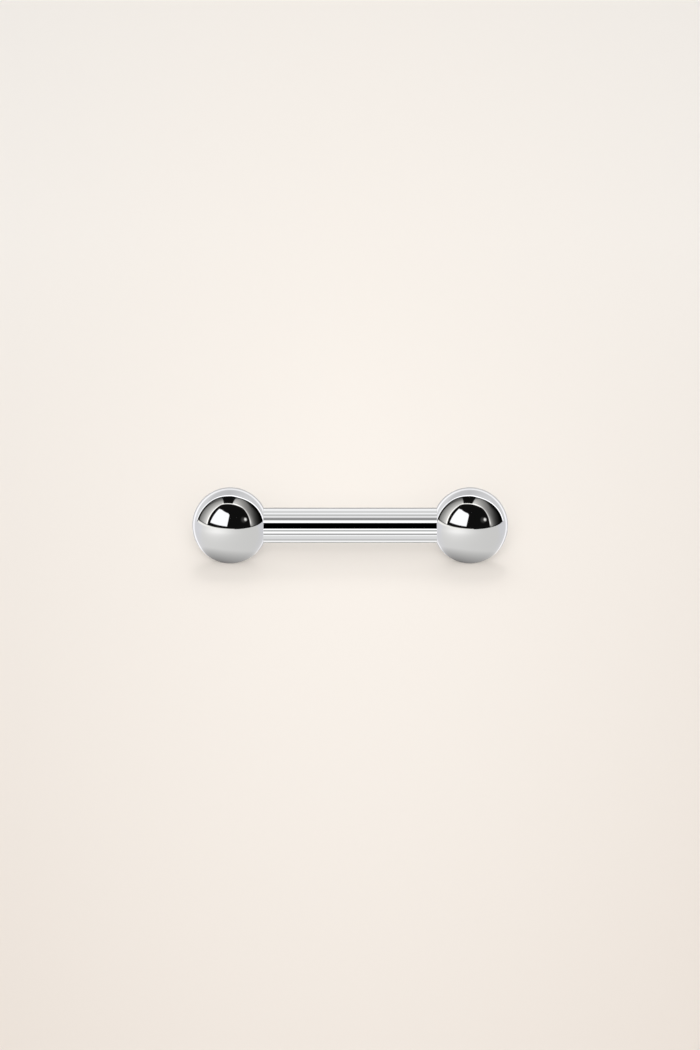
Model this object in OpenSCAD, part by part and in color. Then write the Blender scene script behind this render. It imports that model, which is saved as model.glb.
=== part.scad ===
// A straight body barbell: a polished round bar with a ball screwed onto each threaded end.
// It lies on its two balls. The bar runs along X, +Z is up, and the origin is on the surface
// that the balls stand on, midway between them. All sizes are in millimetres.

/* [Bar] */
// Diameter of the bar
bar_d = 1.2; // [1:0.1:1.4]
// Length of bar that shows between the two balls
wear_length = 5.9; // [4:0.1:30]

/* [Balls] */
// Diameter of each ball
ball_d = 2.6; // [2.6:0.1:5]
// Depth that the full bar goes into a ball before the thread starts
seat_depth = 0.12; // [0.05:0.01:0.2]
// Clearance all round the bar in a ball's seat
seat_clearance = 0.02; // [0.01:0.01:0.05]
// Gap between the bar's shoulder and the floor of the seat
shoulder_gap = 0.02; // [0.01:0.01:0.05]
// How far round the bar each ball stands when its thread is tight
ball_turn = 7.4; // [0:0.1:360]

/* [Thread] */
// Distance from one turn of the thread to the next
pitch = 0.25; // [0.2:0.05:0.35]
// Length of the threaded end beyond the shoulder
thread_length = 1.5; // [1:0.1:1.5]
// How far the thread's crests lie below the bar's surface
crest_step = 0.05; // [0.03:0.01:0.08]
// Depth of the thread from crest to root
thread_depth = 0.12; // [0.08:0.01:0.15]
// Plain neck between the shoulder and the first turn
neck_length = 0.14; // [0.1:0.01:0.2]

/* [Socket] */
// Clearance all round the thread's crests in a ball's socket
thread_clearance = 0.02; // [0.01:0.01:0.04]
// Room between the tip of the bar and the end of the socket's straight wall
tip_room = 0.08; // [0.05:0.01:0.15]
// Full angle of the socket's drilled point
drill_angle = 118; // [90:1:140]

/* [Hidden] */
steel = [0.80, 0.81, 0.83];
thread_steel = [0.70, 0.71, 0.73];
bar_r = bar_d / 2;
ball_r = ball_d / 2;
thread_r = bar_r - crest_step;
core_r = thread_r - thread_depth;
// Distance from a ball's centre to the circle where the bar's surface enters it
mouth = sqrt(ball_r * ball_r - bar_r * bar_r);
ball_x = wear_length / 2 + mouth;
shaft_length = wear_length + 2 * seat_depth;
// Shares of the pitch that are flat at the crest and at the root
crest_share = 1 / 8;
root_share = 1 / 4;
// Steps round the thread and along each turn, and how far its stub starts inside the shaft
sides = 16;
steps_per_turn = 8;
buried = 0.05;
smooth = 96;

// Radius of a threaded end, at a height above the shoulder and an angle round it. The turns
// run out to the core at the neck, and a chamfer takes them down to it again at the tip.
function end_radius(height, angle) =
    let (
        turn = height / pitch - angle / 360,
        from_crest = abs(turn - round(turn)),
        flank = (from_crest - crest_share / 2) / (1 / 2 - root_share / 2 - crest_share / 2),
        thread = thread_r - thread_depth * min(1, max(0, flank)),
        run_out = core_r + max(0, height - neck_length),
        chamfer = core_r + thread_length - height
    )
    min(thread, run_out, chamfer);

// Turned and threaded end that stands up from the shoulder, with a right-hand thread
module threaded_end() {
    rings = ceil((thread_length + buried) / pitch * steps_per_turn);
    rise = (thread_length + buried) / rings;
    wall = [
        for (ring = [0:rings], side = [0:sides - 1])
            let (
                height = ring * rise - buried,
                angle = 360 * side / sides,
                radius = end_radius(height, angle)
            )
            [radius * cos(angle), radius * sin(angle), height]
    ];
    bottom = len(wall);
    points = concat(wall, [[0, 0, -buried], [0, 0, thread_length]]);
    faces = [
        for (ring = [0:rings - 1], side = [0:sides - 1])
            let (
                low = ring * sides + side,
                low_next = ring * sides + (side + 1) % sides,
                high = low + sides,
                high_next = low_next + sides
            )
            each [[low, high, high_next], [low, high_next, low_next]],
        for (side = [0:sides - 1])
            let (next = (side + 1) % sides, top = rings * sides)
            each [[bottom, side, next], [bottom + 1, top + next, top + side]]
    ];
    polyhedron(points, faces);
}

// Bar along X, with a threaded end on each side
module bar() {
    translate([0, 0, ball_r]) {
        color(steel) rotate([0, 90, 0])
            cylinder(r = bar_r, h = shaft_length, center = true, $fn = smooth);
        for (turn = [0, 180])
            color(thread_steel) rotate([0, 0, turn])
                translate([shaft_length / 2, 0, 0]) rotate([0, 90, 0]) threaded_end();
    }
}

// Ball round its own centre, with its socket opening towards +Z
module ball() {
    socket_r = thread_r + thread_clearance;
    seat_floor = mouth - seat_depth - shoulder_gap;
    socket_floor = mouth - seat_depth - thread_length - tip_room;
    point_height = socket_r / tan(drill_angle / 2);
    color(steel) difference() {
        sphere(r = ball_r, $fn = smooth);
        translate([0, 0, seat_floor])
            cylinder(r = bar_r + seat_clearance, h = ball_r, $fn = smooth);
        translate([0, 0, socket_floor])
            cylinder(r = socket_r, h = ball_d, $fn = smooth);
        translate([0, 0, socket_floor - point_height])
            cylinder(r1 = 0, r2 = socket_r, h = point_height, $fn = smooth);
    }
}

module left_ball() translate([-ball_x, 0, ball_r]) rotate([ball_turn, 0, 0]) rotate([0, 90, 0]) ball();

module right_ball() translate([ball_x, 0, ball_r]) rotate([ball_turn, 0, 0]) rotate([0, -90, 0]) ball();

bar();
left_ball();
right_ball();
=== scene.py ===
"""Looks of a straight steel barbell that lies on a pale sheet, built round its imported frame.

Lengths are metres in the frame's own axes: X along the bar, -Y towards the camera and Z up.
Angles that place a light are degrees: an azimuth of 0 is straight in front of the barbell,
towards the camera, and a positive one is to its right.
"""

from __future__ import annotations

import logging
import math
from collections.abc import Callable
from dataclasses import dataclass, field
from enum import Enum
import bmesh
import bpy
import numpy as np
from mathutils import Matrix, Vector


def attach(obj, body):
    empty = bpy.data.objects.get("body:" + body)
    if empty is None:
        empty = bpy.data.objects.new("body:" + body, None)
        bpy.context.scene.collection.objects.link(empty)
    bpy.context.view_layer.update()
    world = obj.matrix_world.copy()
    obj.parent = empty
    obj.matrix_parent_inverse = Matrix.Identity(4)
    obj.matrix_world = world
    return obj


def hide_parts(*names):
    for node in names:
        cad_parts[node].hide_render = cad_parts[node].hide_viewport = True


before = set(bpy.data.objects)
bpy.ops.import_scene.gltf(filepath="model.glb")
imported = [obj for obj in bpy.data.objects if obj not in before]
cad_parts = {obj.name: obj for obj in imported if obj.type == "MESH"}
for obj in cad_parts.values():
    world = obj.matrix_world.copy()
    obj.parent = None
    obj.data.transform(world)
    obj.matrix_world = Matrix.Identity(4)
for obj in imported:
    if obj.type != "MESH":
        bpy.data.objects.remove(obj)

LOG = logging.getLogger("barbell")
MM = 0.001
# Width and height of the photograph's frame, in pixels
FRAME_SIZE = (700, 1050)
# Short names for types that occur often
Array = np.ndarray
Pair = tuple[float, float]


class Side(Enum):
    """End of the bar that a ball is on."""

    LEFT = -1
    RIGHT = 1


class Meets(Enum):
    """Pieces that stand in the way of a lamp's light."""

    ALL = "all"
    BAR = "bar"
    BALLS = "balls"


def linear(hex_colour: str) -> tuple[float, float, float, float]:
    """Turn an sRGB hex colour into linear light.

    Args:
        hex_colour: Colour such as "#DFE2E7".

    Returns:
        Red, green and blue from 0 to 1, with an alpha of 1.
    """
    values = [int(hex_colour[i : i + 2], 16) / 255 for i in (1, 3, 5)]
    light = [v / 12.92 if v <= 0.04045 else ((v + 0.055) / 1.055) ** 2.4 for v in values]
    return (light[0], light[1], light[2], 1.0)


def smooth_step(low: Array | float, high: Array | float, value: Array) -> Array:
    """Rise smoothly from 0 at low to 1 at high, or fall where low is above high."""
    share = np.clip((value - low) / (high - low), 0, 1)
    return share * share * (3 - 2 * share)


def within(edge: Array | float, softness: Array | float, value: Array) -> Array:
    """Share of each place that lies below an edge, which is soft on both its sides."""
    return smooth_step(edge + softness, edge - softness, value)


def mixed(here: Array | float, there: Array | float, share: Array) -> Array:
    """Go from one value to another by a share, where 0 is all here and 1 all there."""
    return here + (there - here) * share


def add_node(
    tree: bpy.types.NodeTree,
    kind: str,
    settings: dict[str | int, object] | None = None,
    links: dict[str | int, bpy.types.NodeSocket] | None = None,
) -> bpy.types.Node:
    """Add a node with its settings and the links into it.

    Args:
        tree: Node tree that takes the node.
        kind: Blender's name for the type of node.
        settings: Values by socket name or number, or by attribute name.
        links: Outputs of other nodes, by the name or number of the socket that each feeds.

    Returns:
        The new node.
    """
    node = tree.nodes.new(kind)
    for key, value in (settings or {}).items():
        if isinstance(key, int) or key in node.inputs:
            node.inputs[key].default_value = value
        else:
            setattr(node, key, value)
    for key, socket in (links or {}).items():
        tree.links.new(socket, node.inputs[key])
    return node


def new_tree(name: str) -> tuple[bpy.types.Material, bpy.types.NodeTree]:
    """Make a node material without nodes.

    Args:
        name: Name of the material.

    Returns:
        The material and its node tree.
    """
    material = bpy.data.materials.new(name)
    material.use_nodes = True
    material.node_tree.nodes.clear()
    return material, material.node_tree


def add_object(name: str, data: bpy.types.ID) -> bpy.types.Object:
    """Make an object, linked to the scene.

    Args:
        name: Name of the object.
        data: Its mesh, light or camera.

    Returns:
        The object.
    """
    item = bpy.data.objects.new(name, data)
    bpy.context.scene.collection.objects.link(item)
    return item


@dataclass(frozen=True)
class PolishedSteel:
    """316L surgical steel, turned or drawn and then buffed to a mirror.

    The buffing leaves a clear mirror with a faint haze that comes and goes, and hairlines that
    follow the tool. Each pattern has its real size along the bar and across it.
    """

    name: str = "polished surgical steel"
    # Bright white metal, a little cool beside the cream sheet that it mirrors
    colour: str = "#DDE1E6"
    roughness: Pair = (0.02, 0.04)
    # Patches of buffing haze, along the bar and across it
    haze_size: Pair = (0.5 * MM, 0.5 * MM)
    # Hairlines. Real ones are a few microns wide, and these are coarse enough to show
    hairline_size: Pair = (0.06 * MM, 0.04 * MM)
    hairline_depth: float = 0.00006 * MM
    # Values of the noise between which the haze goes from least to most
    haze_range: Pair = (0.35, 0.65)

    def material(self) -> bpy.types.Material:
        """Build the material.

        Returns:
            The material, for the slot of a mesh.
        """
        material, tree = new_tree(self.name)
        place = add_node(tree, "ShaderNodeTexCoord").outputs["Object"]
        haze = self.pattern(tree, place, self.haze_size, detail=3.0)
        hairlines = self.pattern(tree, place, self.hairline_size, detail=2.0)
        (start, end), (low, high) = self.haze_range, self.roughness
        roughness = add_node(
            tree,
            "ShaderNodeMapRange",
            {"From Min": start, "From Max": end, "To Min": low, "To Max": high},
            {"Value": haze},
        )
        bump = add_node(
            tree,
            "ShaderNodeBump",
            {"Strength": 1.0, "Distance": self.hairline_depth},
            {"Height": hairlines},
        )
        surface = add_node(
            tree,
            "ShaderNodeBsdfPrincipled",
            {"Base Color": linear(self.colour), "Metallic": 1.0},
            {"Roughness": roughness.outputs[0], "Normal": bump.outputs[0]},
        )
        add_node(tree, "ShaderNodeOutputMaterial", links={"Surface": surface.outputs[0]})
        return material

    def pattern(
        self,
        tree: bpy.types.NodeTree,
        place: bpy.types.NodeSocket,
        size: Pair,
        detail: float,
    ) -> bpy.types.NodeSocket:
        """Add noise whose grains have a real size.

        Args:
            tree: Node tree that takes the noise.
            place: Position on the piece, in metres.
            size: Length of a grain along the bar, and its width across it.
            detail: Octaves of noise.

        Returns:
            The noise's value, around 0.5.
        """
        along, across = size
        mapping = add_node(
            tree,
            "ShaderNodeMapping",
            {"Scale": (1 / along, 1 / across, 1 / across)},
            {"Vector": place},
        )
        noise = add_node(
            tree,
            "ShaderNodeTexNoise",
            {"Scale": 1.0, "Detail": detail},
            {"Vector": mapping.outputs[0]},
        )
        return noise.outputs["Fac"]


@dataclass(frozen=True)
class DrawnSteel(PolishedSteel):
    """The same steel as drawn wire, whose hairlines run along the bar."""

    name: str = "polished drawn surgical steel"
    haze_size: Pair = (2.0 * MM, 0.12 * MM)
    hairline_size: Pair = (3.0 * MM, 0.035 * MM)


@dataclass(frozen=True)
class CutSteel(PolishedSteel):
    """The same steel as a die or tap leaves it: greyer and satin, with fine rings round the cut."""

    name: str = "cut surgical steel"
    colour: str = "#C9CDD2"
    roughness: Pair = (0.16, 0.28)
    haze_size: Pair = (0.05 * MM, 0.3 * MM)
    hairline_size: Pair = (0.012 * MM, 0.4 * MM)
    hairline_depth: float = 0.0003 * MM


@dataclass(frozen=True)
class PaintedShadeSocketSteel(CutSteel):
    """The cut steel deep in a socket, with painted shade: darker, as light dies out between its
    turns.
    """

    name: str = "tapped surgical steel"
    colour: str = "#84888D"


@dataclass(frozen=True)
class Thread:
    """Right-hand thread with a flat crest and root, as on a 1.2 mm screw."""

    pitch: float = 0.25 * MM
    depth: float = 0.12 * MM
    crest_share: float = 1 / 8
    root_share: float = 1 / 4
    # Where the rounded flanks begin and end, as shares of the distances from the middle of a
    # crest to the edges of the flat crest and of the flat root
    crest_reach: float = 0.6
    root_reach: float = 1.05
    # Steps along each turn in the mesh
    steps: int = 16

    def cut(self, height: Array, angle: Array) -> Array:
        """Depth below the crests.

        Args:
            height: Distance along the axis.
            angle: Angle round it, in turns.

        Returns:
            The depth, from 0 at a crest to 1 at a root.
        """
        turn = height / self.pitch - angle
        from_crest = np.abs(turn - np.round(turn))
        crest, root = self.crest_share / 2, 0.5 - self.root_share / 2
        return smooth_step(crest * self.crest_reach, root * self.root_reach, from_crest)


@dataclass
class TurnedSkin:
    """Closed skin of a turned piece, built ring by ring along its axis.

    Heights run along the axis, and a ring's radius may change round it, as a thread's does.
    """

    sides: int = 192
    # Points nearer than this merge, and edges shorter than the next length close up
    merge: float = 0.00001 * MM
    shortest: float = 0.000001 * MM
    # Rings of points so far, and their number of points
    points: list[Array] = field(default_factory=list)
    count: int = 0
    # Faces so far, with the slot of each, and the slot that the next ones get
    faces: list[tuple[int, ...]] = field(default_factory=list)
    slots: list[int] = field(default_factory=list)
    slot: int = 0
    # First point of the ring that the next one joins, if any
    last: int | None = None

    def column_angles(self) -> Array:
        """Angle of each column, in turns."""
        return np.arange(self.sides) / self.sides

    def add_ring(self, height: Array | float, radius: Array | float) -> int:
        """Add a ring of points.

        Args:
            height: Height of the ring, or of each of its points.
            radius: Radius of the ring, or at each of its points.

        Returns:
            The number of its first point.
        """
        turns = self.column_angles() * 2 * math.pi
        height = np.broadcast_to(height, self.sides)
        radius = np.broadcast_to(radius, self.sides)
        ring = np.stack([height, radius * np.cos(turns), radius * np.sin(turns)], 1)
        self.points.append(ring)
        self.count += self.sides
        return self.count - self.sides

    def quad(self, *corners: int) -> None:
        """Add a face with the finish of the slot in use."""
        self.faces.append(corners)
        self.slots.append(self.slot)

    def ring(self, height: float, radius: float) -> None:
        """Add a flat ring, joined to the one before it.

        Args:
            height: Height of the ring.
            radius: Its radius, or 0 to close the skin at a point on its axis.
        """
        first = self.add_ring(height, radius)
        if self.last is not None:
            for side in range(self.sides):
                after = (side + 1) % self.sides
                self.quad(self.last + side, self.last + after, first + after, first + side)
        self.last = first

    def threaded(
        self,
        start: float,
        end: float,
        thread: Thread,
        radius_at: Callable[[Array, Array], Array],
    ) -> None:
        """Add a threaded stretch whose rows of points follow the thread.

        Rows past the stretch are pressed flat onto its ends, where they merge with the rings
        beside it.

        Args:
            start: Height where it begins.
            end: Height where it ends.
            thread: Form of the thread.
            radius_at: Function of height and angle in turns that gives the radius.
        """
        self.ring(start, float(radius_at(np.array([start]), np.array([0.0]))[0]))
        way = math.copysign(1, end - start)
        turns = abs(end - start) / thread.pitch
        # A turn more at each end makes up for the slant of the rows
        rows = (math.ceil(turns) + 2) * thread.steps
        angles = self.column_angles()
        low, high = min(start, end), max(start, end)
        firsts = []
        for row in range(rows + 1):
            lead = row / thread.steps - 1
            height = start + way * thread.pitch * lead + thread.pitch * (angles - (way < 0))
            height = np.clip(height, low, high)
            firsts.append(self.add_ring(height, radius_at(height, angles)))
        step = thread.steps if way > 0 else -thread.steps
        for row in range(rows):
            for side in range(self.sides):
                wraps = side == self.sides - 1
                across = row + step if wraps else row
                if not 0 <= across < rows:
                    continue
                after = 0 if wraps else side + 1
                near, far = firsts[row : row + 2], firsts[across : across + 2]
                self.quad(near[0] + side, far[0] + after, far[1] + after, near[1] + side)
        self.last = None
        self.ring(end, float(radius_at(np.array([end]), np.array([0.0]))[0]))

    def piece(
        self, name: str, centre: Vector, way: int, materials: list[bpy.types.Material]
    ) -> bpy.types.Object:
        """Make the skin into an object along the X axis.

        Args:
            name: Name of the piece.
            centre: Where the skin's height of 0 lies.
            way: 1 if heights run along +X, or -1 if they run along -X.
            materials: Finishes, in the order of the skin's slots.

        Returns:
            The object, whose points have their places in the frame.
        """
        local = np.concatenate(self.points)
        if way > 0:
            placed = local
        else:
            placed = np.stack([-local[:, 0], local[:, 2], local[:, 1]], 1)
        mesh = bpy.data.meshes.new(name)
        mesh.from_pydata((placed + np.array(centre)).tolist(), [], self.faces)
        mesh.polygons.foreach_set("material_index", self.slots)
        tidy = bmesh.new()
        tidy.from_mesh(mesh)
        bmesh.ops.remove_doubles(tidy, verts=tidy.verts, dist=self.merge)
        bmesh.ops.dissolve_degenerate(tidy, edges=tidy.edges, dist=self.shortest)
        loose = [v for v in tidy.verts if not v.link_faces]
        bmesh.ops.delete(tidy, geom=loose, context="VERTS")
        bmesh.ops.recalc_face_normals(tidy, faces=tidy.faces)
        for face in tidy.faces:
            face.smooth = True
        tidy.to_mesh(mesh)
        tidy.free()
        for material in materials:
            mesh.materials.append(material)
        return add_object(name, mesh)


@dataclass
class Bar:
    """Polished shaft with a shoulder, a neck and a threaded end at each side."""

    steel: DrawnSteel
    cut_steel: CutSteel
    thread: Thread
    radius: float = 0.6 * MM
    wear_length: float = 5.9 * MM
    seat_depth: float = 0.12 * MM
    crest_step: float = 0.05 * MM
    neck_length: float = 0.14 * MM
    thread_length: float = 1.5 * MM
    # Radius of the rounding where the shaft meets each shoulder, and its steps in degrees
    edge: float = 0.03 * MM
    edge_step: int = 15
    # Width of the polished rim on the shoulder beside that rounding, as a share of its radius
    rim_share: float = 0.2
    # Chamfer between each shoulder and its neck
    chamfer: float = 0.02 * MM
    # Radius of the ring inside the flat tip, as a share of the tip's
    tip_ring: float = 0.9
    # Rings along the shaft, and how far the outer ones stand from its rounded ends
    shaft_rings: int = 25
    ring_gap: float = 0.01 * MM
    # Height of its axis over the sheet
    height: float = 1.3 * MM

    @property
    def shaft_end(self) -> float:
        """Distance from the middle to a shoulder."""
        return self.wear_length / 2 + self.seat_depth

    @property
    def core_radius(self) -> float:
        """Radius at the thread's roots."""
        return self.radius - self.crest_step - self.thread.depth

    def end_radius(self, height: Array, angle: Array) -> Array:
        """Radius of a threaded end.

        Args:
            height: Distance along the bar from its middle, on either side.
            angle: Angle round it, in turns.

        Returns:
            The radius, with the turns run out at the neck and chamfered at the tip.
        """
        out = np.abs(height) - self.shaft_end
        crest = self.core_radius + self.thread.depth
        threaded = crest - self.thread.depth * self.thread.cut(height, angle)
        run_out = self.core_radius + np.maximum(0, out - self.neck_length)
        chamfer = self.core_radius + self.thread_length - out
        return np.minimum(np.minimum(threaded, run_out), chamfer)

    def build(self) -> bpy.types.Object:
        """Build the bar's mesh with its finishes.

        Returns:
            The bar.
        """
        skin = TurnedSkin()
        tip = self.shaft_end + self.thread_length
        first_turn = self.shaft_end + self.neck_length / 2
        # Rings of the right end from its polished edge to its neck
        shoulder = [
            (self.shaft_end, self.radius - self.edge * (1 + self.rim_share)),
            (self.shaft_end, self.core_radius + self.chamfer),
            (self.shaft_end + self.chamfer, self.core_radius),
        ]
        skin.slot = 1
        skin.ring(-tip, 0)
        skin.ring(-tip, self.core_radius * self.tip_ring)
        skin.threaded(-tip, -first_turn, self.thread, self.end_radius)
        for height, radius in reversed(shoulder):
            skin.ring(-height, radius)
        skin.slot = 0
        self.shaft(skin)
        skin.slot = 1
        for height, radius in shoulder:
            skin.ring(height, radius)
        skin.threaded(first_turn, tip, self.thread, self.end_radius)
        skin.ring(tip, self.core_radius * self.tip_ring)
        skin.ring(tip, 0)
        materials = [self.steel.material(), self.cut_steel.material()]
        return skin.piece("bar_with_threaded_ends", Vector((0, 0, self.height)), 1, materials)

    def shaft(self, skin: TurnedSkin) -> None:
        """Add the polished shaft between its two rounded edges.

        Args:
            skin: The bar's skin, which ends at the left shoulder.
        """
        inside = self.shaft_end - self.edge
        corners = [math.radians(turn) for turn in range(90, -1, -self.edge_step)]
        rounded = [
            (inside + self.edge * math.sin(turn), self.radius - self.edge * (1 - math.cos(turn)))
            for turn in corners
        ]
        for height, radius in rounded:
            skin.ring(-height, radius)
        reach = inside - self.ring_gap
        for height in np.linspace(-reach, reach, self.shaft_rings):
            skin.ring(float(height), self.radius)
        for height, radius in reversed(rounded):
            skin.ring(height, radius)

    def dress(self, piece: bpy.types.Object) -> None:
        """Put the piece on its body, in place of the frame's node.

        Args:
            piece: What build() made.
        """
        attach(piece, "bar")
        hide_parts("bar")


@dataclass
class Ball:
    """Polished ball with a seat for the bar and a tapped socket, which opens to the middle."""

    side: Side
    steel: PolishedSteel
    # Cut steel with painted shade, for the seat and the socket
    painted_shade_socket_steel: PaintedShadeSocketSteel
    thread: Thread
    radius: float = 1.3 * MM
    bar_radius: float = 0.6 * MM
    wear_length: float = 5.9 * MM
    seat_depth: float = 0.14 * MM
    seat_clearance: float = 0.012 * MM
    socket_radius: float = 0.57 * MM
    socket_length: float = 1.56 * MM
    # Depth of the tapped turns behind the socket's crests
    tap_depth: float = 0.06 * MM
    drill_angle: float = 118.0
    # Lengths over which the turns run out, at the socket's mouth and at its end
    run_out: Pair = (0.08 * MM, 0.1 * MM)
    # Rings from the back of the ball to its rim
    rings: int = 150
    # Rounding of the rim where the bar goes in, and how deep the polish goes into it
    edge: float = 0.01 * MM
    polish_depth: float = 0.016 * MM
    # Chamfer of the corners at the seat's floor
    chamfer: float = 0.01 * MM
    # Share of the drilled point that the lip at its wide end takes
    drill_lip: float = 0.05

    @property
    def mouth(self) -> float:
        """Distance from the centre to where the bar's surface enters the ball."""
        return math.sqrt(self.radius**2 - self.bar_radius**2)

    @property
    def place(self) -> float:
        """Distance from the middle of the bar to the ball's centre."""
        return self.wear_length / 2 + self.mouth

    def tapped_radius(self, height: Array, angle: Array) -> Array:
        """Radius of the tapped socket.

        Args:
            height: Distance from the ball's centre towards its mouth.
            angle: Angle round it, in turns.

        Returns:
            The radius, plain at both ends of the socket.
        """
        top = self.mouth - self.seat_depth
        bottom = top - self.socket_length
        fade = smooth_step(top, top - self.run_out[0], height)
        fade = fade * smooth_step(bottom, bottom + self.run_out[1], height)
        return self.socket_radius + self.tap_depth * fade * self.thread.cut(height, angle)

    def build(self) -> bpy.types.Object:
        """Build the ball's mesh with its finishes.

        Returns:
            The ball.
        """
        skin = TurnedSkin()
        seat_radius = self.bar_radius + self.seat_clearance
        rim_angle = math.pi - math.asin((seat_radius + self.edge) / self.radius)
        skin.ring(-self.radius, 0)
        for angle in np.linspace(0, rim_angle, self.rings)[1:]:
            skin.ring(-self.radius * math.cos(angle), self.radius * math.sin(angle))
        rim = -self.radius * math.cos(rim_angle)
        for turn in (math.pi / 6, math.pi / 3, math.pi / 2):
            down, inward = self.edge * (1 - math.cos(turn)), self.edge * math.sin(turn)
            skin.ring(rim - down, seat_radius + self.edge - inward)
        # From here on, the seat and the socket take the cut steel with painted shade
        skin.slot = 1
        skin.ring(rim - self.polish_depth, seat_radius)
        floor = self.mouth - self.seat_depth
        skin.ring(floor + self.chamfer, seat_radius)
        skin.ring(floor, seat_radius - self.chamfer)
        skin.ring(floor, self.socket_radius + self.chamfer)
        bottom = floor - self.socket_length
        skin.threaded(floor - self.chamfer, bottom, self.thread, self.tapped_radius)
        point = self.socket_radius / math.tan(math.radians(self.drill_angle / 2))
        skin.ring(bottom - point * self.drill_lip, self.socket_radius * (1 - self.drill_lip))
        skin.ring(bottom - point, 0)
        materials = [self.steel.material(), self.painted_shade_socket_steel.material()]
        way, name = self.side.value, f"{self.side.name.lower()}_ball_tapped"
        return skin.piece(name, Vector((way * self.place, 0, self.radius)), -way, materials)

    def dress(self, piece: bpy.types.Object) -> None:
        """Put the piece on its body, in place of the frame's node.

        Args:
            piece: What build() made.
        """
        node = f"{self.side.name.lower()}_ball"
        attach(piece, node)
        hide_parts(node)


@dataclass(frozen=True)
class CardSheet:
    """Matt cream card, with a painted pool of light round the barbell and painted shade to the
    front.
    """

    name: str = "matt cream card"
    # Share of the light that white card gives back, which the colours are toned down by
    white: float = 0.88
    # Painted pool of light: its colour in the middle, where that middle lies and its size
    pool: str = "#FEF7EF"
    pool_centre: Pair = (0.0, 22 * MM)
    pool_size: Pair = (9.5 * MM, 75 * MM)
    # How round the pool's middle is, and how far from there the pool ends, in pool sizes
    softness: float = 0.12
    pool_reach: float = 2.0
    # Colours past the pool, behind it and, in painted shade, in front of it, and where the one
    # gives way to the other
    behind: str = "#F6F1EB"
    front: str = "#E3D8CE"
    turn: Pair = (60 * MM, -60 * MM)
    # Uncoated card scatters light evenly, with hardly any gloss
    roughness: float = 0.9
    specular: float = 0.1
    size: float = 3.0

    def build(self) -> bpy.types.Object:
        """Build the sheet that the barbell lies on.

        Returns:
            The sheet.
        """
        half = self.size / 2
        corners = [(-half, -half, 0), (half, -half, 0), (half, half, 0), (-half, half, 0)]
        mesh = bpy.data.meshes.new("card_sheet")
        mesh.from_pydata(corners, [], [(0, 1, 2, 3)])
        mesh.materials.append(self.material())
        return add_object("card_sheet", mesh)

    def toned(self, hex_colour: str) -> tuple[float, ...]:
        """Colour of the card itself, from its colour under full light."""
        return (*(self.white * v for v in linear(hex_colour)[:3]), 1.0)

    def material(self) -> bpy.types.Material:
        """Build the sheet's material, whose painted light and shade depend on the place on the
        sheet.

        Returns:
            The material.
        """
        material, tree = new_tree(self.name)
        place = add_node(tree, "ShaderNodeTexCoord").outputs["Object"]
        (x, y), (width, depth) = self.pool_centre, self.pool_size
        start = self.softness
        shares = add_node(
            tree,
            "ShaderNodeMapping",
            {
                "vector_type": "TEXTURE",
                "Location": (x, y, -start),
                "Scale": (width, depth, 1),
            },
            {"Vector": place},
        )
        reach = add_node(
            tree, "ShaderNodeVectorMath", {"operation": "LENGTH"}, {0: shares.outputs[0]}
        )
        fade = add_node(
            tree,
            "ShaderNodeMapRange",
            {"From Min": start, "From Max": start + self.pool_reach, "To Max": 1.0},
            {"Value": reach.outputs["Value"]},
        )
        depth_way = add_node(tree, "ShaderNodeSeparateXYZ", links={0: place})
        nearer = add_node(
            tree,
            "ShaderNodeMapRange",
            {"From Min": self.turn[0], "From Max": self.turn[1]},
            {"Value": depth_way.outputs["Y"]},
        )
        edge = add_node(
            tree,
            "ShaderNodeMix",
            {"data_type": "RGBA", 6: self.toned(self.behind), 7: self.toned(self.front)},
            {0: nearer.outputs[0]},
        )
        tone = add_node(
            tree,
            "ShaderNodeMix",
            {"data_type": "RGBA", 6: self.toned(self.pool)},
            {0: fade.outputs[0], 7: edge.outputs[2]},
        )
        surface = add_node(
            tree,
            "ShaderNodeBsdfPrincipled",
            {"Roughness": self.roughness, "Specular IOR Level": self.specular},
            {"Base Color": tone.outputs[2]},
        )
        add_node(tree, "ShaderNodeOutputMaterial", links={"Surface": surface.outputs[0]})
        return material


def collection_of(name: str, objects: list[bpy.types.Object]) -> bpy.types.Collection:
    """Make a collection for the lights that need one.

    Args:
        name: Name of the collection.
        objects: What it holds.

    Returns:
        The collection, which isn't part of the scene itself.
    """
    collection = bpy.data.collections.new(name)
    for item in objects:
        collection.objects.link(item)
    return collection


def glowing_card(
    name: str,
    points: Array,
    faces: list[tuple[int, ...]],
    light: Array,
    receivers: list[bpy.types.Object],
) -> bpy.types.Object:
    """Make a studio card that only the given pieces mirror, and that nothing else sees.

    The card is clear where it doesn't glow, so cards may stand in front of each other.

    Args:
        name: Name of the card.
        points: Its points, in metres.
        faces: Its faces.
        light: Red, green and blue light at each point, where 1 is white.
        receivers: Pieces that mirror it.

    Returns:
        The card.
    """
    material, tree = new_tree(name)
    material.cycles.emission_sampling = "NONE"
    cloth = add_node(tree, "ShaderNodeAttribute", {"attribute_name": "light"})
    glow = add_node(tree, "ShaderNodeEmission", links={"Color": cloth.outputs["Color"]})
    clear = add_node(tree, "ShaderNodeBsdfTransparent")
    both = add_node(
        tree, "ShaderNodeAddShader", links={0: glow.outputs[0], 1: clear.outputs[0]}
    )
    add_node(tree, "ShaderNodeOutputMaterial", links={"Surface": both.outputs[0]})
    mesh = bpy.data.meshes.new(name)
    mesh.from_pydata(points.tolist(), [], faces)
    colours = np.column_stack([light, np.ones(len(light))])
    layer = mesh.attributes.new("light", "FLOAT_COLOR", "POINT")
    layer.data.foreach_set("color", colours.astype(np.float32).ravel())
    mesh.materials.append(material)
    card = add_object(name, mesh)
    card.visible_camera = card.visible_diffuse = card.visible_shadow = False
    card.visible_transmission = card.visible_volume_scatter = False
    card.light_linking.receiver_collection = collection_of(f"{name}_shines_on", receivers)
    return card


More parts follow.
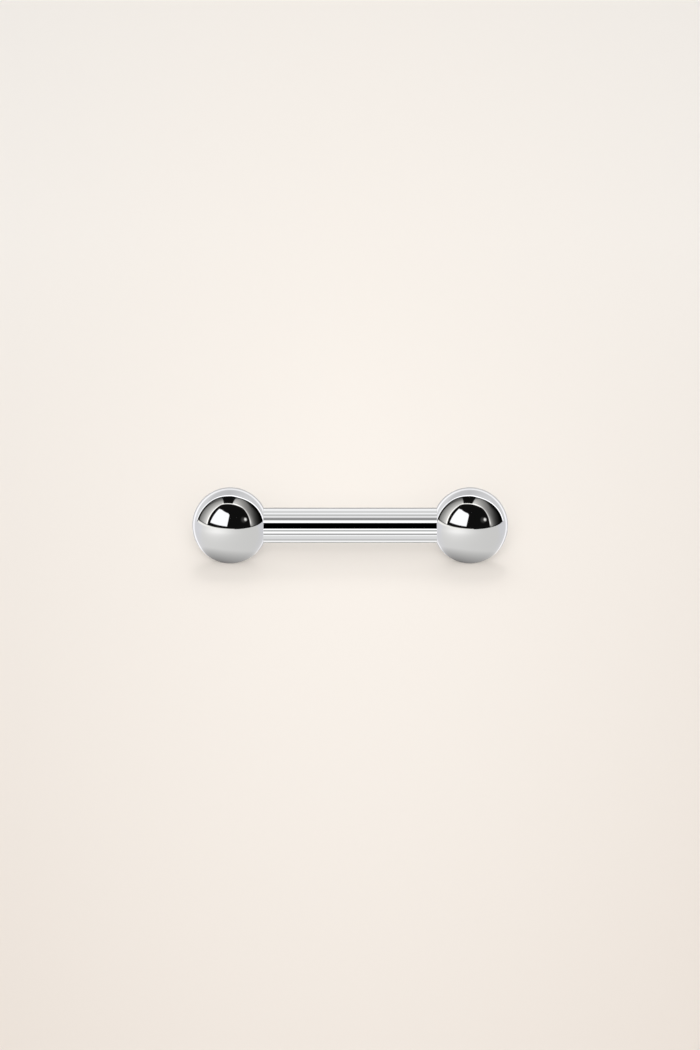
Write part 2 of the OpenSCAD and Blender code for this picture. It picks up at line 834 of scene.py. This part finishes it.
def tinted(
    glow: Array, colour: str, other: str | None = None, share: Array | float = 0.0
) -> Array:
    """Give each point's brightness a colour.

    Args:
        glow: Brightness at each point, where 1 is white.
        colour: Colour of the light where the share is 0.
        other: Its colour where the share is 1, or None where it has only one.
        share: How far each point's colour is from the one to the other.

    Returns:
        Red, green and blue light at each point.
    """
    here, there = (np.array(linear(each)[:3]) for each in (colour, other or colour))
    return glow[:, None] * (here + np.multiply.outer(share, there - here))


def grid_faces(rows: int, columns: int) -> list[tuple[int, int, int, int]]:
    """Faces of a grid of points stored row by row."""
    return [
        (r * columns + c, r * columns + c + 1, (r + 1) * columns + c + 1, (r + 1) * columns + c)
        for r in range(rows - 1)
        for c in range(columns - 1)
    ]


@dataclass(frozen=True)
class Directions:
    """One or more directions out from the barbell, by azimuth and elevation in degrees."""

    azimuth: Array | float
    elevation: Array | float

    def steps(self) -> tuple[Array, Array, Array]:
        """Parts of each unit direction that go right, back and up."""
        a, e = np.radians(self.azimuth), np.radians(self.elevation)
        return np.sin(a) * np.cos(e), -np.cos(a) * np.cos(e), np.sin(e)


@dataclass(frozen=True)
class Opening:
    """Part of the tent's wall with rounded corners, standing on the horizon."""

    azimuth: float
    half_width: float
    # How high its top edge is over the middle, in degrees
    top: float
    # How square its two top corners are, first the one at the lower azimuth
    squareness: Pair
    # How much wider its half at the higher azimuths gets with each degree of height, and the
    # height where both halves are alike
    lean: float = 0.0
    lean_from: float = 35.0

    def reach(self, ways: Directions) -> Array:
        """How far each direction is out from the middle.

        Args:
            ways: Directions from the ball.

        Returns:
            The reach, where 1 is the edge.
        """
        across = (ways.azimuth - self.azimuth + 180) % 360 - 180
        leaning = self.lean * (ways.elevation - self.lean_from)
        half = self.half_width + np.where(across > 0, leaning, 0)
        power = np.where(across > 0, self.squareness[1], self.squareness[0])
        sides = np.abs(across / half) ** power
        return (sides + np.abs(self.climb(ways) / self.top) ** power) ** (1 / power)

    def climb(self, ways: Directions) -> Array:
        """Height of each direction, as the top edge measures it."""
        return ways.elevation


@dataclass(frozen=True)
class StraightTopOpening(Opening):
    """Opening towards the camera, whose top edge is a straight bar across the tent."""

    # How much nearer the bar's right half gets for each unit to the right
    slant: float = 0.0

    def climb(self, ways: Directions) -> Array:
        """Height of each direction as the angle over the front horizon, seen along the bar."""
        right, back, up = ways.steps()
        return np.degrees(np.arctan2(up, -back - self.slant * right))


@dataclass(frozen=True)
class FrontBorder:
    """Bright border round the front opening, which is dimmer on its right side."""

    # Its width as a share of the opening's reach, its softness as a share of its width, and
    # the share of its width that it loses under the gap in the tent's top
    width: float = 0.049
    softness: float = 0.2
    narrowing: float = 0.45
    left_glow: float = 1.65
    right_glow: float = 0.95
    # What the right side gains low down and high up, and the elevations where that comes in
    low_gain: float = 0.25
    low_fade: Pair = (24, 15)
    high_gain: float = 0.7
    high_fade: Pair = (50, 72)
    # Share of light at the foot of the right side, and the elevations where it comes up
    foot_share: float = 0.2
    foot_fade: Pair = (3, 11)

    def share(self, reach: Array, under_gap: Array) -> Array:
        """Share of each direction that the border and the opening inside it cover."""
        width = self.width * (1 - self.narrowing * under_gap)
        return within(1 + width, width * self.softness, reach)

    def glow(self, right: Array, elevation: Array) -> Array:
        """Brightness of the border.

        Args:
            right: Whether each direction is right of the opening's middle.
            elevation: Degrees above the horizon.

        Returns:
            The brightness, where 1 is white.
        """
        gain = self.low_gain * smooth_step(*self.low_fade, elevation)
        gain = gain + self.high_gain * smooth_step(*self.high_fade, elevation)
        foot = mixed(self.foot_share, 1, smooth_step(*self.foot_fade, elevation))
        return np.where(right, (self.right_glow + gain) * foot, self.left_glow)


@dataclass(frozen=True)
class CeilingGap:
    """Dark gap in the tent's top, whose edges are degrees to the right and to the back.

    Each pair of edges is where the gap begins or ends, and where it is wholly dark.
    """

    left: Pair = (-16.5, -15.0)
    # Its right edge over the ball, how much further right that is with each degree to the back,
    # and how soft it is
    right: float = 8.0
    right_lean: float = 0.25
    right_softness: float = 0.8
    front: Pair = (-10.0, -8.0)
    back: Pair = (27.0, 25.0)

    def shares(self, ways: Directions) -> tuple[Array, Array]:
        """Shares of each direction that the gap takes up.

        Args:
            ways: Directions from the ball.

        Returns:
            The share between its two sides at any depth, and the share in the gap itself.
        """
        right, back, _ = ways.steps()
        across, back = np.degrees(np.arcsin(right)), np.degrees(np.arcsin(back))
        right_edge = self.right + self.right_lean * back
        between = smooth_step(*self.left, across)
        between = between * within(right_edge, self.right_softness, across)
        return between, between * smooth_step(*self.front, back) * smooth_step(*self.back, back)


@dataclass(frozen=True)
class Softbox:
    """Window of light whose corners are pairs of azimuth and elevation, clockwise."""

    corners: tuple[Pair, ...] = (
        (-59.6, 55.1),
        (-44.6, 56.1),
        (-8.7, 48.5),
        (-4.2, 43.5),
        (-10.7, 9),
        (-66, 13),
    )
    glow: float = 1.36
    softness: float = 0.6

    def share(self, ways: Directions) -> Array:
        """How much of the window lies in each direction.

        Args:
            ways: Directions from the ball.

        Returns:
            The share, from 0 outside it to 1 inside.
        """
        inside = np.full(ways.azimuth.shape, np.inf)
        for here, after in zip(self.corners, self.corners[1:] + self.corners[:1]):
            along, climb = np.subtract(after, here)
            beyond = (ways.elevation - here[1]) * along - (ways.azimuth - here[0]) * climb
            inside = np.minimum(inside, -beyond / math.hypot(along, climb))
        return smooth_step(-self.softness, self.softness, inside)


@dataclass(frozen=True)
class Spot:
    """Small round light in the tent, with a soft edge."""

    azimuth: float
    elevation: float
    glow: float
    # Degrees from its middle where it ends, and where it has its whole brightness
    fade: Pair

    def light(self, ways: Directions) -> Array:
        """Brightness of the light.

        Args:
            ways: Directions from the ball.

        Returns:
            The brightness in each, where 1 is white.
        """
        across = (ways.azimuth - self.azimuth) * math.cos(math.radians(self.elevation))
        away = np.hypot(across, ways.elevation - self.elevation)
        return self.glow * smooth_step(*self.fade, away)


@dataclass(frozen=True)
class SideWall:
    """Side of the tent, which darkens towards its back, quickly low down and slowly high up."""

    # Azimuth of its front end, on either side
    start: float
    # Brightness at its front end low down, the degrees over which it falls to about a third,
    # and the azimuths between which it fades out
    low_glow: float
    low_fall: float
    low_fade: Pair
    # The same high up, with the azimuths of its back end at the foot and at the top
    high_glow: float
    high_fall: float
    high_ends: Pair
    # Higher where the slow fall begins further up
    climb: float
    # Degrees over which it fades out high up, and the elevations between which its end moves
    high_fade: float = 28.0
    end_climb: Pair = (35.0, 70.0)
    # Elevation from which only the slow fall is left
    top: float = 76.0

    def light(self, beside: Array, elevation: Array) -> Array:
        """Brightness of the wall.

        Args:
            beside: Degrees from the front, on the wall's own side.
            elevation: Degrees above the horizon.

        Returns:
            The brightness, where 1 is white.
        """
        back = beside - self.start
        low = self.low_glow * np.exp(-back / self.low_fall) * smooth_step(*self.low_fade, beside)
        end = np.interp(smooth_step(*self.end_climb, elevation), (0, 1), self.high_ends)
        high = self.high_glow * np.exp(-back / self.high_fall)
        high = high * smooth_step(0, self.high_fade, end - beside)
        return low + (high - low) * np.clip(elevation / self.top, 0, 1) ** self.climb


@dataclass(frozen=True)
class RimOutline:
    """Painted shadow line round a ball's rim, for its own shadow far behind it, and a painted halo
    inside it.

    Both are placed by the degrees from the way that the rim looks, down behind the ball.
    """

    looks_down: float = 12.5
    # Where the painted shadow line is whole and where it ends, and the share of light that it takes
    line: Pair = (24, 32)
    depth: float = 0.45
    # Where the painted halo inside it is whole and where it ends, and how much light it adds
    halo_end: Pair = (40, 46)
    halo: float = 0.5

    def away(self, back: Array, down: Array) -> Array:
        """Degrees from the way that the rim looks, by the parts of each unit direction."""
        tilt = math.radians(self.looks_down)
        return np.degrees(np.arccos(back * math.cos(tilt) + down * math.sin(tilt)))

    def gain(self, away: Array, halo: Array | float) -> Array:
        """Share of light that the line and the halo leave.

        Args:
            away: Degrees from the way that the rim looks.
            halo: How much light the halo adds there.

        Returns:
            The share, where 1 is no change.
        """
        dark = self.depth * smooth_step(self.line[1], self.line[0], away)
        return (1 + halo * smooth_step(self.halo_end[1], self.halo_end[0], away)) * (1 - dark)


@dataclass(frozen=True)
class BackWall:
    """Wall behind a ball, brighter at its two ends, with a bright rim inside a dark seam."""

    # Painted shadow line and painted halo that the ball's rim mirrors
    outline: RimOutline = RimOutline()
    opening: Opening = Opening(
        azimuth=183.1, half_width=62.25, top=67.1, squareness=(4, 1.96), lean=0.242
    )
    softness: float = 0.01
    glow: float = 0.69
    # How much brighter it is at both ends, and at the right one alone
    ends_gain: float = 0.25
    right_gain: float = 0.11
    # How much brighter it is low down, what the right end adds to that, and where it comes in
    low_gain: float = 0.07
    low_right_gain: float = -0.18
    low_fade: Pair = (38, 27)
    # Width of its rim as a share of its reach, the rim's softness, its brightness, and what
    # it gains above these elevations or this far to the right
    rim_width: float = 0.07
    rim_softness: float = 0.014
    rim_glow: float = 1.45
    rim_gain: float = 0.35
    rim_high: Pair = (40, 60)
    rim_right: Pair = (0.1, 0.4)
    # Share of light that the seam takes, and the reach where it ends and where it is whole
    seam: float = 0.85
    seam_fade: Pair = (1.09, 1.03)

    def share(self, ways: Directions) -> Array:
        """Share of each direction that the wall covers."""
        return within(1, self.softness, self.opening.reach(ways))

    def over(self, light: Array, ways: Directions) -> Array:
        """Put the wall and its seam over what is behind them.

        Args:
            light: Brightness without them.
            ways: Directions from the ball.

        Returns:
            The brightness with them.
        """
        right = np.sin(np.radians(ways.azimuth))
        low = smooth_step(*self.low_fade, ways.elevation)
        wall = self.glow * (1 + self.ends_gain * np.abs(right) + self.right_gain * right)
        wall = wall * (1 + (self.low_gain + self.low_right_gain * right) * low)
        _, back, up = ways.steps()
        # Painted shadow of the ball behind it, and a painted halo round it
        wall = wall * self.outline.gain(self.outline.away(back, -up), self.outline.halo)
        high = smooth_step(*self.rim_high, ways.elevation)
        gain = self.rim_gain * np.maximum(high, smooth_step(*self.rim_right, right))
        reach = self.opening.reach(ways)
        inner = within(1 - self.rim_width, self.rim_softness, reach)
        wall = mixed(self.rim_glow + gain, wall, inner)
        light = light * (1 - self.seam * smooth_step(*self.seam_fade, reach))
        return mixed(light, wall, self.share(ways))


@dataclass(frozen=True)
class Hem:
    """Tent's bright hem on the sheet, and the dark line above it."""

    # Elevation of its top edge at some azimuths, with straight lines between them
    azimuths: tuple[float, ...] = (-125, -100, -70, 0, 25)
    tops: tuple[float, ...] = (2.6, 4.3, 4.2, 1.7, 0.3)
    # Azimuth where it ends on either side, and where it is whole
    ends: Pair = (122, 116)
    # The hem isn't seen where its top edge is lower than this
    lowest: float = 1.0
    softness: float = 0.6
    glow: float = 1.2
    # Degrees above the top edge where the dark line ends and where it is whole
    line: Pair = (3.2, 1.0)
    # Share of light that the dark line takes
    depth: float = 0.75

    def over(self, light: Array, ways: Directions) -> Array:
        """Put the hem and its line over what is behind them.

        Args:
            light: Brightness without them.
            ways: Directions from the ball.

        Returns:
            The brightness with them.
        """
        top = np.interp(ways.azimuth, self.azimuths, self.tops)
        side = smooth_step(*self.ends, np.abs(ways.azimuth))
        dark = side * smooth_step(top + self.line[0], top + self.line[1], ways.elevation)
        hem = side * within(top, self.softness, ways.elevation) * (top > self.lowest)
        return mixed(light * (1 - self.depth * dark), self.glow, hem)


@dataclass(frozen=True)
class LightTent:
    """White tent round a ball that it mirrors, open and dark towards the camera."""

    ball: bpy.types.Object
    side: Side
    # The photograph was taken from nearer than this camera stands, so its balls mirror the
    # tent from ways that lie further apart. Each tent turns by this to the bar's middle
    turn: float = 1.3
    radius: float = 0.9
    # Degrees from each of its points to the next
    step: float = 1.0
    # Colours of its sides, and of its back wall and the window
    colour: str = "#FFF9F0"
    back_colour: str = "#FFFBF8"
    # Brightness of the black cloth in the front opening and in the gap
    black: float = 0.0068
    front: Opening = StraightTopOpening(
        azimuth=-4.0, half_width=71.3, top=80.3, squareness=(90, 90), lean=0.119, slant=0.146
    )
    front_softness: float = 0.01
    border: FrontBorder = FrontBorder()
    gap: CeilingGap = CeilingGap()
    softbox: Softbox = Softbox()
    # The small soft lamp on the right, and the haze beside it
    spots: tuple[Spot, ...] = (
        Spot(azimuth=51.8, elevation=24.3, glow=1.1, fade=(6.5, 1.0)),
        Spot(azimuth=44.8, elevation=24.5, glow=0.06, fade=(11.0, 2.0)),
    )
    left_wall: SideWall = SideWall(
        start=78,
        low_glow=1.10,
        low_fall=24,
        low_fade=(117, 109),
        high_glow=0.80,
        high_fall=65,
        high_ends=(150, 150),
        climb=3,
    )
    right_wall: SideWall = SideWall(
        start=66,
        low_glow=0.7,
        low_fall=8.5,
        low_fade=(115, 107),
        high_glow=0.82,
        high_fall=150,
        high_ends=(116, 152),
        climb=2.35,
    )
    back: BackWall = BackWall()
    hem: Hem = Hem()

    def glow(self, ways: Directions) -> Array:
        """Brightness of the tent.

        Args:
            ways: Directions from the ball.

        Returns:
            The brightness in each direction, where 1 is white.
        """
        left = self.left_wall.light(-ways.azimuth, ways.elevation)
        right = self.right_wall.light(ways.azimuth, ways.elevation)
        light = np.where(ways.azimuth < 0, left, right)
        under_gap, gap = self.gap.shares(ways)
        light = mixed(light, self.black, gap)
        reach = self.front.reach(ways)
        border = self.border.glow(ways.azimuth >= self.front.azimuth, ways.elevation)
        light = mixed(light, border, self.border.share(reach, under_gap))
        light = mixed(light, self.black, within(1, self.front_softness, reach))
        light = light + self.softbox.glow * self.softbox.share(ways)
        light = light + sum(spot.light(ways) for spot in self.spots)
        return self.hem.over(self.back.over(light, ways), ways)

    def build(self) -> bpy.types.Object:
        """Build the tent as a dome whose points carry its brightness.

        Returns:
            The dome.
        """
        azimuths = np.arange(-180, 180 + self.step / 2, self.step)
        elevations = np.arange(0, 90 + self.step / 2, self.step)
        azimuth, elevation = (g.ravel() for g in np.meshgrid(azimuths, elevations))
        placed = Directions(azimuth - self.turn * self.side.value, elevation)
        points = self.radius * np.stack(placed.steps(), 1)
        faces = grid_faces(len(elevations), len(azimuths))
        ways = Directions(azimuth, elevation)
        white = np.maximum(self.back.share(ways), self.softbox.share(ways))
        light = tinted(self.glow(ways), self.colour, self.back_colour, white)
        name = f"tent_round_{self.side.name.lower()}_ball"
        return glowing_card(name, points, faces, light, [self.ball])


@dataclass(frozen=True)
class MirroredSheet:
    """Painted reflection of the sheet, pale, with painted contact shade, shadow, halo and pool of
    light.
    """

    ball: bpy.types.Object
    # Which end of the bar the ball is on, and where it stands along the bar
    side: Side
    place: float
    half_width: float = 0.9
    # Reach of the fine part, and steps from the ball to its edge and from there to the sheet's
    fine_reach: float = 2.0 * MM
    fine_steps: int = 20
    coarse_steps: int = 60
    # How high the left ball's sheet lies. The right ball's is twice as high, to keep them apart
    height: float = 0.01 * MM
    # Colours of the light that the sheet sends up in front of the ball and behind it, and the
    # distance on either side over which they change
    front_colour: str = "#FFFAF3"
    back_colour: str = "#FFFBFA"
    colour_change: float = 1.0 * MM
    tone: float = 0.825
    # Share of light that the sheet's left gains and its right loses
    side_tone: float = 0.03
    # Distance over which the contact shade fades, and the share of light at the contact
    contact_radius: float = 1.42 * MM
    contact_tone: float = 0.07
    # How far the middle of the shade lies to the left of the contact
    contact_shift: float = 0.2 * MM
    # How much brighter a painted pool of light makes the sheet in front on the left, below the
    # softbox, and where
    pool_gain: float = 0.45
    pool_azimuth: float = -38.0
    pool_width: float = 42.0
    pool_fade: Pair = (0.5 * MM, 9 * MM)
    # The rim's painted shadow line and painted halo, and where on the rim they are seen from
    outline: RimOutline = RimOutline()
    rim: tuple[float, float, float] = (1.1 * MM, -0.4 * MM, 1.1 * MM)
    # Share of the halo on the side where the bar is, and how far out along the bar it grows
    halo_at_bar: float = 0.6
    halo_fade: Pair = (-0.5 * MM, 1.0 * MM)

    def glow(self, x: Array, y: Array) -> Array:
        """Brightness of the painted reflection of the sheet.

        Args:
            x: Places along the bar, from where the ball stands.
            y: Places across it, positive behind it.

        Returns:
            The brightness, where 1 is white.
        """
        azimuth = np.degrees(np.arctan2(x, -y))
        from_shade = np.hypot(x + self.contact_shift, y)
        shade = np.clip(from_shade / self.contact_radius, 0, 1)
        light = self.tone * mixed(self.contact_tone, 1, shade)
        light = light * (1 - self.side_tone * np.sin(np.radians(azimuth)))
        turn = (azimuth - self.pool_azimuth) / self.pool_width
        pool = np.exp(-(turn**2)) * smooth_step(*self.pool_fade, np.hypot(x, y))
        outside = smooth_step(*self.halo_fade, x * self.side.value)
        halo = self.outline.halo * mixed(self.halo_at_bar, 1, outside)
        return light * (1 + self.pool_gain * pool) * self.outline.gain(self.from_rim(x, y), halo)

    def from_rim(self, x: Array, y: Array) -> Array:
        """Degrees between places on the sheet and the way that the ball's rim looks.

        Args:
            x: Places along the bar, from where the ball stands.
            y: Places across it, positive behind it.

        Returns:
            The degrees.
        """
        across, back, high = self.rim
        ways = np.stack([np.maximum(np.abs(x) - across, 0), y - back, np.full(x.shape, high)])
        ways = ways / np.linalg.norm(ways, axis=0)
        return self.outline.away(ways[1], ways[2])

    def build(self) -> bpy.types.Object:
        """Build the mirrored sheet, with fine squares round the ball and coarse ones away.

        Returns:
            The sheet.
        """
        near = np.linspace(0, self.fine_reach, self.fine_steps, endpoint=False)
        far = np.geomspace(self.fine_reach, self.half_width, self.coarse_steps)
        away = np.concatenate([near, far])
        steps = np.concatenate([-away[:0:-1], away])
        x, y = (g.ravel() for g in np.meshgrid(steps, steps))
        height = self.height * (1 if self.side is Side.LEFT else 2)
        points = np.stack([self.place + x, y, np.full(x.shape, height)], 1)
        behind = smooth_step(-self.colour_change, self.colour_change, y)
        light = tinted(self.glow(x, y), self.front_colour, self.back_colour, behind)
        faces = grid_faces(len(steps), len(steps))
        # The card is a painted reflection of the sheet, which only this ball mirrors
        name = f"sheet_under_{self.side.name.lower()}_ball"
        return glowing_card(name, points, faces, light, [self.ball])


@dataclass(frozen=True)
class Strip:
    """Strip along the bar, of light or of black card, in degrees round the bar."""

    # Angle of its middle over the front horizon
    angle: float
    width: float
    glow: float
    softness: float = 4.0


@dataclass(frozen=True)
class StripTunnel:
    """Strips all round the bar, along it, that give it its long straight stripes."""

    receivers: list[bpy.types.Object]
    # Height of the bar's middle over the sheet
    bar_height: float
    radius: float = 0.8
    half_length: float = 1.6
    # Degrees from each of its long edges to the next
    step: float = 1.0
    colour: str = "#FFFBF6"
    # Brightness between the strips, of the white cloth above the bar and of the sheet's painted
    # reflection below it
    above: float = 0.88
    below: float = 0.95
    # Angle, width, brightness and, where it isn't the usual one, softness of each
    # Strips at negative angles lie under the sheet, as painted stripes in its painted reflection
    strips: tuple[Strip, ...] = (
        # Painted shadow: the first two strips darken the back horizon, for the bar's own shadow
        # behind it
        Strip(-160, 50, 0.45, 8),
        Strip(170, 34, 0.45, 8),
        Strip(138, 30, 1.22, 8),
        Strip(97, 8, 1.3),
        Strip(80, 6, 0.6),
        Strip(72, 7, 1.15),
        Strip(54.3, 14.6, 0.34),
        Strip(34.75, 16.5, 1.6),
        Strip(9.2, 38.2, 0.0, 1),
        Strip(-15, 6, 1.7),
        Strip(-22, 6, 0.5),
        Strip(-36, 7, 1.7),
        Strip(-51, 7, 0.4),
        Strip(-59, 6, 1.4),
        Strip(-98, 14, 0.68),
        Strip(-122, 12, 1.4),
    )

    def build(self) -> bpy.types.Object:
        """Build the tunnel as a cylinder round the bar, whose lower half is under the sheet.

        Returns:
            The cylinder.
        """
        angles = np.arange(-180, 180 + self.step / 2, self.step)
        glow = np.where(angles > 0, self.above, self.below)
        for strip in self.strips:
            away = np.abs(angles - strip.angle)
            glow = mixed(glow, strip.glow, within(strip.width / 2, strip.softness / 2, away))
        a = np.radians(angles)
        ends = np.tile([-self.half_length, self.half_length], len(angles))
        y = np.repeat(-self.radius * np.cos(a), 2)
        z = np.repeat(self.bar_height + self.radius * np.sin(a), 2)
        points = np.column_stack([ends, y, z])
        faces = grid_faces(len(angles), 2)
        light = tinted(np.repeat(glow, 2), self.colour)
        return glowing_card("strip_tunnel", points, faces, light, self.receivers)


@dataclass(frozen=True)
class Lamp:
    """Soft rectangular lamp that faces the barbell, with its angles in degrees."""

    name: str
    azimuth: float
    elevation: float
    width: float
    height: float
    # Share of the sheet's light
    share: float
    meets: Meets = Meets.ALL
    # Rows and columns of patches that the light it gives is summed from
    patches: int = 10

    def build(
        self,
        distance: float,
        light_on_sheet: float,
        pieces: dict[Meets, list[bpy.types.Object]],
    ) -> None:
        """Build the lamp.

        Args:
            distance: Distance from the barbell.
            light_on_sheet: Light that all the lamps give the sheet, in watts a square metre.
            pieces: The barbell's pieces, by what a lamp's light may meet.
        """
        way = Vector(Directions(self.azimuth, self.elevation).steps())
        turn = way.to_track_quat("Z", "Y")
        half_width = distance * math.tan(math.radians(self.width / 2))
        half_height = distance * math.tan(math.radians(self.height / 2))
        middles = np.linspace(1 / self.patches - 1, 1 - 1 / self.patches, self.patches)
        reached = 0.0
        for u in middles:
            for v in middles:
                spot = way * distance + turn @ Vector((u * half_width, v * half_height, 0))
                reached += max(0, spot.z) * distance / spot.length**4 / self.patches**2
        light = bpy.data.lights.new(self.name, "AREA")
        light.shape = "RECTANGLE"
        light.size = 2 * half_width
        light.size_y = 2 * half_height
        light.energy = self.share * light_on_sheet * math.pi / reached
        # Scattered rays pass through the steel, so only direct ones may find the lamp
        light.cycles.use_multiple_importance_sampling = False
        lamp = add_object(self.name, light)
        lamp.location = way * distance
        lamp.rotation_euler = turn.to_euler()
        lamp.visible_camera = lamp.visible_glossy = False
        if self.meets is not Meets.ALL:
            met = collection_of(f"{self.name}_meets", pieces[self.meets])
            lamp.light_linking.blocker_collection = met


@dataclass(frozen=True)
class SheetLight:
    """Lamps that light the sheet and give the barbell its soft shadow.

    The low front lamp throws the shadow back, out of sight, and leaves its soft edge below the
    barbell in the picture. The rest of the light is an even fill without shadows, which keeps
    the shadow as pale as in the photograph.
    """

    # Name, azimuth, elevation, width, height and share of each, and what its light may meet
    lamps: tuple[Lamp, ...] = (
        Lamp("low_front_lamp", 0, 15.8, 14.8, 13.3, 0.197),
        Lamp("low_front_lamp_on_balls", 0, 15.8, 14.8, 13.3, 0.07, Meets.BALLS),
        Lamp("front_lamp", 0, 35.9, 31.3, 25.9, 0.09),
        Lamp("front_lamp_on_bar", 0, 35.9, 31.3, 25.9, 0.069, Meets.BAR),
        Lamp("top_lamp", 0, 85.4, 71.5, 52.1, 0.08),
        Lamp("top_lamp_on_bar", 0, 85.4, 71.5, 52.1, 0.05, Meets.BAR),
        Lamp("back_lamp", 180, 37.0, 14.2, 30.8, 0.09),
        Lamp("back_lamp_on_balls", 180, 38.0, 60.0, 30.0, 0.065, Meets.BALLS),
    )
    distance: float = 3.0
    # Light on the sheet, in watts a square metre, that shows a white surface as white
    strength: float = math.pi
    # Warm white of the studio's far wall
    wall_colour: str = "#F4ECE4"

    def build(self, sheet_white: float, pieces: dict[Meets, list[bpy.types.Object]]) -> None:
        """Build the lamps and the fill.

        Args:
            sheet_white: Share of the light that the sheet's colours are toned down by.
            pieces: The barbell's pieces, by what a lamp's light may meet.
        """
        total = self.strength / sheet_white
        for lamp in self.lamps:
            lamp.build(self.distance, total, pieces)
        fill = bpy.data.lights.new("even_fill", "SUN")
        fill.energy = total * (1 - sum(lamp.share for lamp in self.lamps))
        fill.use_shadow = False
        light = add_object("even_fill", fill)
        light.visible_camera = light.visible_glossy = False
        world = bpy.data.worlds.new("studio_wall")
        world.use_nodes = True
        wall = world.node_tree.nodes["Background"]
        wall.inputs["Color"].default_value = linear(self.wall_colour)
        bpy.context.scene.world = world
        world.cycles_visibility.glossy = world.cycles_visibility.diffuse = False


@dataclass(frozen=True)
class PhotoCamera:
    """Camera at the photograph's angle, with its framing."""

    elevation: float = 12.5
    distance: float = 0.3
    # Length of the barbell, over its length in the photograph's pixels
    pixel: float = 10.807 * MM / 315.9
    # Middle of the barbell in the photograph
    middle: Pair = (350.15, 525.3)
    sensor: float = 36.0
    # Nearest and furthest distances that it sees
    clip: Pair = (0.001, 20.0)

    def build(self, target: Vector) -> bpy.types.Object:
        """Build the camera and look through it.

        Args:
            target: The point that it faces.

        Returns:
            The camera.
        """
        width, height = FRAME_SIZE
        data = bpy.data.cameras.new("photo_camera")
        data.sensor_fit = "HORIZONTAL"
        data.sensor_width = self.sensor
        data.lens = self.sensor * self.distance / (width * self.pixel)
        data.clip_start, data.clip_end = self.clip
        data.shift_x = (width / 2 - self.middle[0]) / width
        data.shift_y = (self.middle[1] - height / 2) / width
        camera = add_object("photo_camera", data)
        tilt = math.radians(self.elevation)
        back = Vector((0, -math.cos(tilt), math.sin(tilt)))
        camera.location = target + back * self.distance
        camera.rotation_euler = (-back).to_track_quat("-Z", "Y").to_euler()
        bpy.context.scene.camera = camera
        return camera


def main() -> None:
    """Build the barbell, the sheet under it, the studio round it and the camera."""
    logging.basicConfig(level=logging.INFO, format="%(name)s: %(message)s")
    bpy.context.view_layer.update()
    bpy.context.scene.view_settings.view_transform = "Standard"
    thread = Thread()
    bar = Bar(DrawnSteel(), CutSteel(), thread)
    bar_piece = bar.build()
    bar.dress(bar_piece)
    LOG.info("%s: %d faces", bar_piece.name, len(bar_piece.data.polygons))
    balls = []
    for side in Side:
        ball = Ball(side, PolishedSteel(), PaintedShadeSocketSteel(), thread)
        piece = ball.build()
        ball.dress(piece)
        balls.append(piece)
        LOG.info("%s: %d faces", piece.name, len(piece.data.polygons))
    for piece in (bar_piece, *balls):
        # The photograph's balls don't mirror the bar, nor the bar the balls, and the steel
        # throws no light back on the sheet
        piece.visible_glossy = piece.visible_diffuse = False
    sheet = CardSheet()
    card = sheet.build()
    # Each piece mirrors its own cards in place of the sheet itself
    card.visible_glossy = False
    for side, piece in zip(Side, balls):
        LightTent(piece, side).build()
        MirroredSheet(piece, side, side.value * ball.place).build()
    StripTunnel([bar_piece], bar.height).build()
    SheetLight().build(sheet.white, {Meets.BAR: [bar_piece], Meets.BALLS: balls})
    PhotoCamera().build(Vector((0, 0, bar.height)))
    LOG.info("sheet, tent, strips, lamps and camera are in place")


if __name__ == "__main__":
    main()
